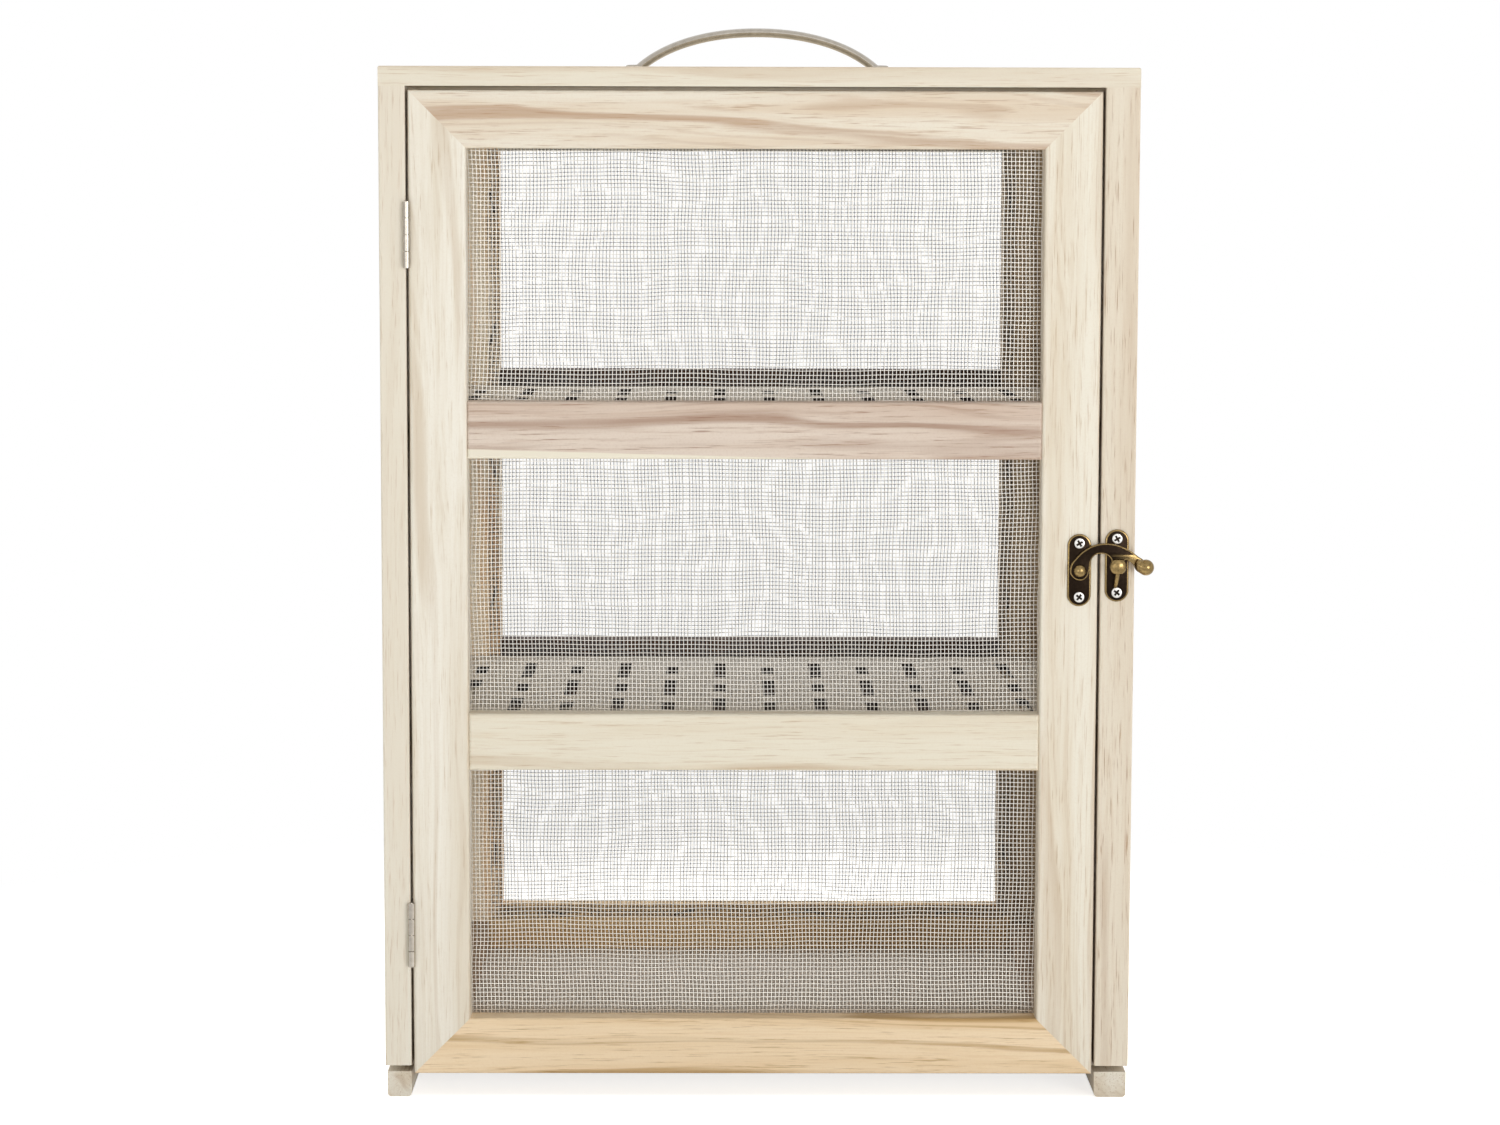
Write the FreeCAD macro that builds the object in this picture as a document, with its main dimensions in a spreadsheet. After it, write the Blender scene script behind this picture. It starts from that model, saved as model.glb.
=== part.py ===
"""Counter-top jelly cupboard: a pine case with wire mesh door and back, slotted shelves,
butt hinges, a swing-hook latch and a bow handle. Lengths are millimetres, +Z is up and
the door faces -Y. The origin is on the floor under the middle of the footprint."""
import FreeCAD, Part
import math
import os

import Sketcher
from FreeCAD import Placement, Rotation, Vector

# Counts, and the closeness at which two places are one
KNUCKLES = 4
SLOT_COLUMN_PAIRS = 6
NET_COLUMNS = 5
NET_ROWS = 8
BALL_BANDS = 6
TOUCH = 1e-6

# Driving dimensions, one cell each
SIZES = {
    # case boards
    "case_width": 290.0,
    "case_depth": 230.0,
    "case_height": 399.2,
    "top_thickness": 7.5,
    "left_side_thickness": 10.2,
    "right_side_thickness": 13.2,
    "board_round": 0.8,
    "floor_thickness": 2.4,
    "floor_clearance": 0.6,
    "runner_height": 10.0,
    "runner_inset": 0.8,
    "runner_round": 1.5,
    # cleats and shelves
    "cleat_width": 16.0,
    "cleat_height": 12.0,
    "cleat_setback": 3.0,
    "shelf_thickness": 3.0,
    "shelf_setback": 3.0,
    "shelf_clearance": 0.3,
    "lower_shelf_share": 0.3500,
    "upper_shelf_share": 0.6685,
    "slot_width": 5.0,
    "slot_long_share": 0.22,
    "slot_short_share": 0.107,
    "slot_row_share": 0.2665,
    "slot_column_share": 0.0773,
    "slot_margin_share": 0.0626,
    # door frame and back frame
    "frame_width": 22.0,
    "frame_thickness": 10.0,
    "frame_round": 1.2,
    "door_gap": 1.0,
    "door_top_gap": 1.5,
    "door_bottom": 9.1,
    "door_rail_drop": 16.2,
    "back_rail_drop": 28.6,
    "back_rail_height": 36.0,
    # wire mesh, drawn with coarse bars
    "mesh_thickness": 0.6,
    "mesh_overlap": 6.5,
    "mesh_bar": 0.9,
    # butt hinges
    "hinge_length": 25.4,
    "hinge_leaf_width": 8.0,
    "hinge_top_drop": 54.8,
    "hinge_bottom_rise": 55.3,
    "leaf_clearance": 0.1,
    "leaf_relief": 0.2,
    "knuckle_radius": 1.4,
    "knuckle_stand": 0.05,
    "knuckle_gap": 0.3,
    "pin_radius": 0.7,
    "pin_clearance": 0.05,
    "hinge_screw_spread": 16.0,
    "hinge_screw_depth": 5.2,
    "hinge_screw_radius": 0.9,
    "hinge_screw_length": 6.0,
    # latch
    "latch_share": 0.5200,
    "latch_inset": 7.2,
    "latch_gap": 0.3,
    "latch_overhang": 7.1,
    "plate_width": 9.2,
    "plate_length": 28.0,
    "plate_thickness": 0.9,
    "plate_screw_spread": 20.8,
    "plate_screw_radius": 1.0,
    "plate_screw_head": 1.9,
    "plate_screw_length": 7.0,
    "screw_clearance": 0.05,
    "rivet_radius": 1.6,
    "rivet_clearance": 0.05,
    "rivet_head": 2.4,
    "rivet_head_height": 1.5,
    "rivet_crown": 1.4,
    "eye_radius": 3.75,
    "hook_thickness": 2.0,
    "hook_width": 3.7,
    "hook_rise": 8.4,
    "ball_radius": 3.1,
    "ball_rise": 1.4,
    "tongue_width": 5.2,
    "tongue_drop": 0.4,
    "catch_edge": 1.7,
    "catch_rise": 1.8,
    "knob_radius": 3.1,
    "knob_thickness": 2.9,
    "knob_flat_share": 0.6,
    "stem_radius": 0.9,
    "stem_length": 7.0,
    # bow handle
    "handle_span": 99.0,
    "handle_rise": 19.5,
    "handle_strap": 3.7,
    "handle_width": 8.0,
    "foot_radius": 4.6,
    "foot_height": 4.6,
    "handle_screw_radius": 2.0,
    "handle_screw_head": 3.8,
    "handle_screw_head_height": 2.4,
    "handle_screw_grip": 2.4,
    # overrun of every cutting tool past the face it leaves
    "overrun": 1.0,
}

# Places and sizes that follow from the driving dimensions
DERIVED = {
    "left_x": "-(case_width + latch_overhang) / 2",
    "right_x": "left_x + case_width",
    "front_y": "(2 * ball_radius + latch_gap - case_depth) / 2",
    "back_y": "front_y + case_depth",
    "inner_left": "left_x + left_side_thickness",
    "inner_right": "right_x - right_side_thickness",
    "inner_width": "inner_right - inner_left",
    "floor_top": "runner_height + floor_thickness",
    "under_top": "case_height - top_thickness",
    "side_height": "under_top - floor_top",
    "lower_shelf_height": "floor_top + side_height * lower_shelf_share",
    "upper_shelf_height": "floor_top + side_height * upper_shelf_share",
    "door_lower_rail": "lower_shelf_height - door_rail_drop",
    "door_upper_rail": "upper_shelf_height - door_rail_drop",
    "back_lower_rail": "lower_shelf_height - back_rail_drop",
    "back_upper_rail": "upper_shelf_height - back_rail_drop",
    "door_left": "inner_left + door_gap",
    "door_right": "inner_right - door_gap",
    "door_width": "door_right - door_left",
    "door_top": "under_top - door_top_gap",
    "door_height": "door_top - door_bottom",
    "door_back_y": "front_y + frame_thickness",
    "back_front_y": "back_y - frame_thickness",
    "back_height": "under_top - runner_height",
    "mesh_back_y": "back_front_y - mesh_thickness",
    "floor_front_y": "door_back_y + mesh_thickness + floor_clearance",
    "floor_depth": "back_front_y - floor_front_y",
    "shelf_front_y": "floor_front_y + shelf_setback",
    "shelf_depth": "mesh_back_y - shelf_clearance - shelf_front_y",
    "slot_column_pitch": "inner_width * slot_column_share",
    "slot_side_margin": "inner_width * slot_margin_share",
    "slot_row_pitch": "shelf_depth * slot_row_share",
    "slot_long": "shelf_depth * slot_long_share",
    "slot_short": "shelf_depth * slot_short_share",
    "cleat_front_y": "shelf_front_y + cleat_setback",
    "cleat_depth": "mesh_back_y - shelf_clearance - cleat_front_y",
    "leaf_thickness": "(door_gap - leaf_clearance) / 2",
    "hinge_upper_height": "door_top - hinge_top_drop",
    "hinge_lower_height": "door_bottom + hinge_bottom_rise",
    "hinge_x": "inner_left + door_gap / 2",
    "hinge_y": "front_y - knuckle_radius - knuckle_stand",
    "leaf_front_y": "hinge_y + knuckle_radius + leaf_relief",
    "leaf_depth": "front_y + hinge_leaf_width - leaf_front_y",
    "knuckle_pitch": f"hinge_length / {KNUCKLES}",
    "knuckle_height": "knuckle_pitch - knuckle_gap",
    "plate_front_y": "front_y - plate_thickness",
    "hook_back_y": "plate_front_y - latch_gap",
    "hook_front_y": "hook_back_y - hook_thickness",
    "head_back_y": "hook_front_y - latch_gap",
    "latch_height": "door_bottom + door_height * latch_share",
    "latch_x": "door_right - latch_inset",
    "catch_x": "inner_right + catch_edge + plate_width / 2",
    "catch_z": "latch_height + catch_rise",
    "ball_x": "right_x + latch_overhang - ball_radius",
    "handle_x": "(left_x + right_x) / 2",
    "handle_y": "front_y + case_depth / 2",
    "strap_sagitta": "handle_rise - handle_strap / 2 - foot_height / 2",
    "strap_radius": "(handle_span ^ 2 / 4 + strap_sagitta ^ 2) / (2 * strap_sagitta)",
    "strap_centre_z": "case_height + handle_rise - handle_strap / 2 - strap_radius",
}

ALONG_PLUS_Y = Rotation(Vector(1, 0, 0), -90)
ALONG_MINUS_Y = Rotation(Vector(1, 0, 0), 90)
ALONG_PLUS_X = Rotation(Vector(0, 1, 0), 90)
ALONG_MINUS_X = Rotation(Vector(0, 1, 0), -90)
ALONG_PLUS_Z = Rotation()

doc = FreeCAD.newDocument("jelly_cupboard")
sheet = doc.addObject("Spreadsheet::Sheet", "dims")
for row, (alias, value) in enumerate(SIZES.items(), start=1):
    sheet.set(f"A{row}", alias)
    sheet.set(f"B{row}", str(value))
    sheet.setAlias(f"B{row}", alias)
for row, (alias, formula) in enumerate(DERIVED.items(), start=1):
    sheet.set(f"C{row}", alias)
    sheet.set(f"D{row}", "=" + formula)
    sheet.setAlias(f"D{row}", alias)
    doc.recompute()

nodes = []


def size(alias):
    """The value of one cell."""
    return float(getattr(sheet, alias))


def rule(text):
    """An expression in cell names, as the document binds it."""
    words = []
    for word in text.replace("(", " ( ").replace(")", " ) ").split():
        words.append("dims." + word if word in SIZES or word in DERIVED else word)
    return " ".join(words)


def bind(obj, **rules):
    """Bind properties of an object to expressions in cell names."""
    for name, text in rules.items():
        obj.setExpression(name, rule(text))


def place(obj, x, y, z, turn=ALONG_PLUS_Z):
    """Turn an object, then bind its place to three expressions."""
    obj.Placement = Placement(Vector(), turn)
    for axis, text in zip("xyz", (x, y, z)):
        obj.setExpression(f"Placement.Base.{axis}", rule(text))


def node(obj, label):
    """Name an object as one of the finished pieces."""
    obj.Label = label
    nodes.append(obj)
    return obj


def box(name, corner, length, width, height):
    """A plain block from its lowest corner."""
    block = doc.addObject("Part::Box", name)
    bind(block, Length=length, Width=width, Height=height)
    place(block, *corner)
    return block


def rod(name, centre, radius, height, turn=ALONG_PLUS_Z):
    """A round bar from the centre of its first end."""
    bar = doc.addObject("Part::Cylinder", name)
    bind(bar, Radius=radius, Height=height)
    place(bar, *centre, turn)
    return bar


def taper(name, centre, wide, narrow, height, turn=ALONG_PLUS_Z):
    """A cone with its tip cut off, from the centre of its first end."""
    plug = doc.addObject("Part::Cone", name)
    bind(plug, Radius1=wide, Radius2=narrow, Height=height)
    place(plug, *centre, turn)
    return plug


def fuse(name, shapes):
    """One solid out of several that touch."""
    joined = doc.addObject("Part::MultiFuse", name)
    joined.Shapes = shapes
    return joined


def cut(name, base, tools):
    """A solid with one or more tools taken out of it."""
    tool = tools[0]
    if len(tools) > 1:
        tool = doc.addObject("Part::Compound", name + "_tools")
        tool.Links = tools
    result = doc.addObject("Part::Cut", name)
    result.Base = base
    result.Tool = tool
    return result


def outline(body, name, plane_role, loops):
    """A sketch of closed straight-sided loops, every corner bound to two expressions."""
    sketch = body.newObject("Sketcher::SketchObject", name)
    plane = [f for f in body.Origin.OriginFeatures if f.Role == plane_role][0]
    sketch.AttachmentSupport = [(plane, "")]
    sketch.MapMode = "FlatFace"
    for corners in loops:
        first = sketch.GeometryCount
        count = len(corners)
        turns = [2 * math.pi * i / count for i in range(count + 1)]
        rim = [Vector(math.cos(a), math.sin(a), 0) for a in turns]
        for i in range(count):
            sketch.addGeometry(Part.LineSegment(rim[i], rim[i + 1]))
        for i in range(count):
            after = first + (i + 1) % count
            sketch.addConstraint(Sketcher.Constraint("Coincident", first + i, 2, after, 1))
        for i, corner in enumerate(corners):
            for kind, text in zip(("DistanceX", "DistanceY"), corner):
                link = Sketcher.Constraint(kind, -1, 1, first + i, 1, 1.0)
                sketch.setExpression(f"Constraints[{sketch.addConstraint(link)}]", rule(text))
    return sketch


def padded(name, plane_role, corners, depth, reverse=False):
    """A body with one straight-sided outline padded to a depth."""
    body = doc.addObject("PartDesign::Body", name)
    pad = body.newObject("PartDesign::Pad", name + "_pad")
    pad.Profile = outline(body, name + "_outline", plane_role, [corners])
    pad.Reversed = reverse
    bind(pad, Length=depth)
    doc.recompute()
    return body


def eased(body, radius, wanted):
    """Round the edges of a body whose middle and direction pass a test."""
    base = body.Tip
    picked = []
    for number, edge in enumerate(base.Shape.Edges, start=1):
        ends = [v.Point for v in edge.Vertexes]
        along = (ends[1] - ends[0]).normalize()
        if wanted((ends[0] + ends[1]) / 2, along):
            picked.append(f"Edge{number}")
    fillet = body.newObject("PartDesign::Fillet", body.Name + "_round")
    fillet.Base = (base, picked)
    bind(fillet, Radius=radius)
    body.Tip = fillet
    return body


def same(a, b):
    """Two places that are one, within the closeness of the kernel."""
    return abs(a - b) < TOUCH


def board(name, corner, length, width, height, radius, wanted):
    """A rectangular board with some of its edges eased."""
    corners = [("0", "0"), (length, "0"), (length, width), ("0", width)]
    body = eased(padded(name, "XY_Plane", corners, height), radius, wanted)
    place(body, *corner)
    return body


def screws(name, places, turn, head, head_height, shank, length, sunk=True):
    """A group of like screws, each with a plain shank and a countersunk or a plain round head."""
    solids = []
    for i, at in enumerate(places):
        top = taper(f"{name}_head{i}", at, head, shank if sunk else head, head_height, turn)
        stem = rod(f"{name}_shank{i}", at, shank, f"{head_height} + {length}", turn)
        solids.append(fuse(f"{name}_{i}", [top, stem]))
    group = doc.addObject("Part::Compound", name)
    group.Links = solids
    return node(group, name)


def holes(name, places, turn, radius, length):
    """The drills for a group of screws."""
    return [rod(f"{name}_{i}", at, radius, length, turn) for i, at in enumerate(places)]


def sinks(name, places, turn, head, shank, depth):
    """The countersinks that take the heads of a group of screws."""
    ease = "screw_clearance"
    return [taper(f"{name}_{i}", at, f"{head} + {ease}", f"{shank} + {ease}", depth, turn)
            for i, at in enumerate(places)]


def top_edges(middle, along):
    """Edges of the upper face."""
    return same(middle.z, size("top_thickness"))


def upright_front(middle, along):
    """Upright edges on the front face."""
    return abs(along.z) > abs(along.x) + abs(along.y) and same(middle.y, 0)


def lower_long(middle, along):
    """Long edges of the lower face."""
    return abs(along.y) > abs(along.x) + abs(along.z) and same(middle.z, 0)


def front_face(middle, along):
    """Long edges of a frame member's front face, not its mitres."""
    return same(middle.y, 0) and (same(along.x, 0) or same(along.z, 0))


# Handle screw places, shared by the top board, the handle and the screws
HANDLE_ENDS = [f"handle_x + {side} * handle_span / 2" for side in (-1, 1)]


def case_boards():
    """Top, sides, floor and runners."""
    top = board("top_blank", ("left_x", "front_y", "under_top"), "case_width", "case_depth",
                "top_thickness", "board_round", top_edges)
    drills = [(x, "handle_y", "under_top - overrun") for x in HANDLE_ENDS]
    reach = "top_thickness + 2 * overrun"
    through = holes("top_drill", drills, ALONG_PLUS_Z, "handle_screw_radius + screw_clearance", reach)
    node(cut("top_board", top, through), "top_board")

    left = board("left_blank", ("left_x", "front_y", "floor_top"), "left_side_thickness",
                 "case_depth", "side_height", "board_round", upright_front)
    pilots = []
    for name in ("upper", "lower"):
        places = hinge_screw_places(name, "inner_left")
        pilots += holes(f"left_pilot_{name}", places, ALONG_MINUS_X,
                        "hinge_screw_radius + screw_clearance", "hinge_screw_length + screw_clearance")
    node(cut("side_left", left, pilots), "side_left")

    right = board("right_blank", ("right_x - right_side_thickness", "front_y", "floor_top"),
                  "right_side_thickness", "case_depth", "side_height", "board_round", upright_front)
    pilots = holes("right_pilot", plate_screw_places("catch_x", "catch_z", "front_y"), ALONG_PLUS_Y,
                   "plate_screw_radius + screw_clearance", "plate_screw_length + screw_clearance")
    node(cut("side_right", right, pilots), "side_right")

    node(box("floor_panel", ("left_x + runner_inset", "floor_front_y", "runner_height"),
             "case_width - 2 * runner_inset", "floor_depth", "floor_thickness"), "floor_panel")
    for side, x, width in (
        ("left", "left_x + runner_inset", "left_side_thickness - runner_inset"),
        ("right", "inner_right", "right_side_thickness - runner_inset"),
    ):
        node(board(f"runner_{side}", (x, "front_y", "0"), width, "case_depth", "runner_height",
                   "runner_round", lower_long), f"runner_{side}")


def cleats_and_shelves():
    """Battens along both sides and the two slotted shelves that lie on them."""
    levels = {
        "floor": "floor_top",
        "lower": "lower_shelf_height - shelf_thickness - cleat_height",
        "upper": "upper_shelf_height - shelf_thickness - cleat_height",
    }
    for level, z in levels.items():
        for side, x in (("left", "inner_left"), ("right", "inner_right - cleat_width")):
            node(box(f"{level}_cleat_{side}", (x, "cleat_front_y", z),
                     "cleat_width", "cleat_depth", "cleat_height"), f"{level}_cleat_{side}")
    for level in ("lower", "upper"):
        node(shelf(f"{level}_shelf", f"{level}_shelf_height - shelf_thickness"), f"{level}_shelf")


def slot(x, middle, length):
    """The four corners of one slot about its middle."""
    left, right = f"{x} - slot_width / 2", f"{x} + slot_width / 2"
    near, far = f"{middle} - {length} / 2", f"{middle} + {length} / 2"
    return [(left, near), (right, near), (right, far), (left, far)]


def shelf(name, z):
    """A panel pierced by two columns of slots, long and short by turns, repeated across it."""
    corners = [("0", "0"), ("inner_width", "0"), ("inner_width", "shelf_depth"), ("0", "shelf_depth")]
    body = padded(name, "XY_Plane", corners, "shelf_thickness")
    plain = body.Shape.Volume
    loops = []
    for column, lengths in enumerate((("slot_short", "slot_long"), ("slot_long", "slot_short"))):
        x = f"slot_side_margin + {column} * slot_column_pitch"
        for line in (-1, 0, 1):
            loops.append(slot(x, f"shelf_depth / 2 + {line} * slot_row_pitch", lengths[abs(line + 1) % 2]))
    pocket = body.newObject("PartDesign::Pocket", name + "_slots")
    pocket.Profile = outline(body, name + "_slot_outline", "XY_Plane", loops)
    pocket.Type = "ThroughAll"
    pocket.Reversed = True
    doc.recompute()
    rows = body.newObject("PartDesign::LinearPattern", name + "_columns")
    rows.Originals = [pocket]
    rows.Direction = (pocket.Profile[0], ["H_Axis"])
    rows.Mode = "Spacing"
    rows.Occurrences = SLOT_COLUMN_PAIRS
    bind(rows, Offset="2 * slot_column_pitch")
    body.Tip = rows
    doc.recompute()
    one = size("slot_width") * size("shelf_thickness") * 3 * (size("slot_long") + size("slot_short"))
    assert math.isclose(plain - body.Shape.Volume, one * SLOT_COLUMN_PAIRS, rel_tol=TOUCH), name
    place(body, "inner_left", "shelf_front_y", z)
    return body


def frame(prefix, corner, width, height, rails, rail_height, finished):
    """Four mitred members and two butted rails, each padded from its front face backwards."""
    w = "frame_width"
    far_x, far_z = f"{width} - {w}", f"{height} - {w}"
    outlines = {
        "stile_left": [("0", "0"), (w, w), (w, far_z), ("0", height)],
        "stile_right": [(width, "0"), (width, height), (far_x, far_z), (far_x, w)],
        "rail_bottom": [("0", "0"), (width, "0"), (far_x, w), (w, w)],
        "rail_top": [("0", height), (w, far_z), (far_x, far_z), (width, height)],
    }
    for name, z in rails.items():
        low, high = f"{z} - {corner[2]}", f"{z} - {corner[2]} + {rail_height}"
        outlines[name] = [(w, low), (far_x, low), (far_x, high), (w, high)]
    for name, corners in outlines.items():
        body = padded(f"{prefix}_{name}_blank", "XZ_Plane", corners, "frame_thickness", reverse=True)
        eased(body, "frame_round", front_face)
        place(body, *corner)
        label = f"{prefix}_{name}"
        drills = finished.get(label, [])
        node(cut(label, body, drills) if drills else body, label)


def net(name, x, y, z, width, height):
    """A flat net: one face with rows of holes, given the thickness of the wire."""
    bar, thick = size("mesh_bar"), size("mesh_thickness")
    pitch_x, pitch_z = (width - bar) / NET_COLUMNS, (height - bar) / NET_ROWS

    def loop(x0, z0, dx, dz):
        rim = [(x0, z0), (x0 + dx, z0), (x0 + dx, z0 + dz), (x0, z0 + dz), (x0, z0)]
        return Part.makePolygon([Vector(a, b, 0) for a, b in rim])

    gaps = []
    for column in range(NET_COLUMNS):
        for line in range(NET_ROWS):
            gaps.append(loop(bar + column * pitch_x, bar + line * pitch_z, pitch_x - bar, pitch_z - bar))
    face = Part.makeFace([loop(0, 0, width, height)] + gaps, "Part::FaceMakerBullseye")
    sheet_of_wire = doc.addObject("Part::Feature", name)
    sheet_of_wire.Shape = face.extrude(Vector(0, 0, thick))
    sheet_of_wire.Placement = Placement(Vector(x, y + thick, z), ALONG_MINUS_Y)
    return node(sheet_of_wire, name)


def frames_and_nets():
    """The door and the back, alike but for their rails, with a net on each inner face."""
    hinge_pilots = []
    for name in ("upper", "lower"):
        hinge_pilots += holes(f"door_pilot_{name}", hinge_screw_places(name, "door_left"), ALONG_PLUS_X,
                              "hinge_screw_radius + screw_clearance",
                              "hinge_screw_length + screw_clearance")
    latch_pilots = holes("latch_pilot", plate_screw_places("latch_x", "latch_height", "front_y"),
                         ALONG_PLUS_Y, "plate_screw_radius + screw_clearance",
                         "plate_screw_length + screw_clearance")
    frame("door", ("door_left", "front_y", "door_bottom"), "door_width", "door_height",
          {"rail_lower": "door_lower_rail", "rail_upper": "door_upper_rail"}, "frame_width",
          {"door_stile_left": hinge_pilots, "door_stile_right": latch_pilots})
    frame("back", ("inner_left", "back_front_y", "runner_height"), "inner_width", "back_height",
          {"rail_lower": "back_lower_rail", "rail_upper": "back_upper_rail"}, "back_rail_height", {})
    edge = size("frame_width") - size("mesh_overlap")
    for name, x, y, z, width, height in (
        ("door_mesh", "door_left", "door_back_y", "door_bottom", "door_width", "door_height"),
        ("back_mesh", "inner_left", "mesh_back_y", "runner_height", "inner_width", "back_height"),
    ):
        net(name, size(x) + edge, size(y), size(z) + edge, size(width) - 2 * edge, size(height) - 2 * edge)


def hinge_screw_places(name, x):
    """The two screw places of one hinge leaf, on a face at x."""
    y = "front_y + hinge_screw_depth"
    return [(x, y, f"hinge_{name}_height + {side} * hinge_screw_spread / 2") for side in (-1, 1)]


def hinge_leaf(label, name, x, inward, knuckles):
    """A leaf with its rolled knuckles and, as one solid with it, the shanks of its two screws."""
    foot = f"hinge_{name}_height - hinge_length / 2"
    parts = [box(label + "_plate", (x, "leaf_front_y", foot), "leaf_thickness", "leaf_depth", "hinge_length")]
    for k in knuckles:
        z = f"{foot} + {k} * knuckle_pitch + knuckle_gap / 2"
        axis = ("hinge_x", "hinge_y", z)
        parts.append(rod(f"{label}_knuckle{k}", axis, "knuckle_radius", "knuckle_height"))
        parts.append(box(f"{label}_neck{k}", (x, "hinge_y", z), "leaf_thickness",
                         "leaf_front_y - hinge_y + leaf_relief", "knuckle_height"))
    middle = hinge_screw_places(name, f"{x} + leaf_thickness / 2")
    parts += holes(label + "_screw", middle, inward, "hinge_screw_radius",
                   "leaf_thickness / 2 + hinge_screw_length")
    return parts


def hinges():
    """Two butt hinges. The pin is pressed into the case leaf, and the door leaf turns on it."""
    for name in ("upper", "lower"):
        foot = f"hinge_{name}_height - hinge_length / 2"
        label = f"hinge_case_leaf_{name}"
        leaf = hinge_leaf(label, name, "inner_left", ALONG_MINUS_X, range(1, KNUCKLES, 2))
        pin = rod(f"hinge_pin_{name}", ("hinge_x", "hinge_y", foot), "pin_radius", "hinge_length")
        node(fuse(label, leaf + [pin]), label)

        label = f"hinge_door_leaf_{name}"
        leaf = hinge_leaf(label, name, "door_left - leaf_thickness", ALONG_PLUS_X, range(0, KNUCKLES, 2))
        bore = rod(label + "_bore", ("hinge_x", "hinge_y", f"{foot} - overrun"),
                   "pin_radius + pin_clearance", "hinge_length + 2 * overrun")
        node(cut(label, fuse(label + "_blank", leaf), [bore]), label)


def plate_screw_places(x, z, y):
    """The two screw places of a latch plate, on a face at y."""
    return [(x, y, f"{z} + {side} * plate_screw_spread / 2") for side in (-1, 1)]


def round_ended_plate(name, x, z):
    """A latch plate with round ends and two screw holes, flat on the front of the case."""
    straight = "plate_length - plate_width"
    parts = [box(name + "_middle", (f"{x} - plate_width / 2", "plate_front_y", f"{z} - ( {straight} ) / 2"),
                 "plate_width", "plate_thickness", straight)]
    for i, side in enumerate((-1, 1)):
        parts.append(rod(f"{name}_end{i}", (x, "plate_front_y", f"{z} + {side} * ( {straight} ) / 2"),
                         "plate_width / 2", "plate_thickness", ALONG_PLUS_Y))
    drills = sinks(name + "_sink", plate_screw_places(x, z, "plate_front_y"), ALONG_PLUS_Y,
                   "plate_screw_head", "plate_screw_radius", "plate_thickness")
    return cut(name, fuse(name + "_blank", parts), drills)


def latch():
    """The plate, rivet and hook on the door, and the catch on the side."""
    node(round_ended_plate("latch_plate", "latch_x", "latch_height"), "latch_plate")
    stem = rod("rivet_stem", ("latch_x", "head_back_y", "latch_height"), "rivet_radius",
               "plate_front_y - head_back_y", ALONG_PLUS_Y)
    crown = taper("rivet_crown_cone", ("latch_x", "head_back_y", "latch_height"), "rivet_head", "rivet_crown",
                  "rivet_head_height", ALONG_MINUS_Y)
    node(fuse("latch_rivet", [stem, crown]), "latch_rivet")

    plate = round_ended_plate("catch_base", "catch_x", "catch_z")
    narrow, third = "knob_radius * knob_flat_share", "knob_thickness / 3"
    back, middle, front = (("catch_x", f"head_back_y - {i} * {third}", "catch_z") for i in range(3))
    knob = [
        taper("knob_back", back, narrow, "knob_radius", third, ALONG_MINUS_Y),
        rod("knob_rim", middle, "knob_radius", third, ALONG_MINUS_Y),
        taper("knob_front", front, "knob_radius", narrow, third, ALONG_MINUS_Y),
    ]
    post = doc.addObject("Part::Feature", "catch_stem")
    foot = Vector(size("catch_x"), size("plate_front_y"), size("catch_z") - size("stem_length"))
    head = Vector(size("catch_x"), size("head_back_y") - size("knob_thickness") / 2, size("catch_z"))
    reach = head - foot
    post.Shape = Part.makeCylinder(size("stem_radius"), reach.Length, Vector(), Vector(0, 0, 1))
    post.Placement = Placement(foot, Rotation(Vector(0, 0, 1), reach))
    node(fuse("catch_plate", [plate, post] + knob), "catch_plate")

    for name, x, z in (("latch_screws", "latch_x", "latch_height"), ("catch_screws", "catch_x", "catch_z")):
        screws(name, plate_screw_places(x, z, "plate_front_y"), ALONG_PLUS_Y, "plate_screw_head",
               "plate_thickness", "plate_screw_radius", "plate_screw_length")
    node(hook(), "latch_hook")


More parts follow.
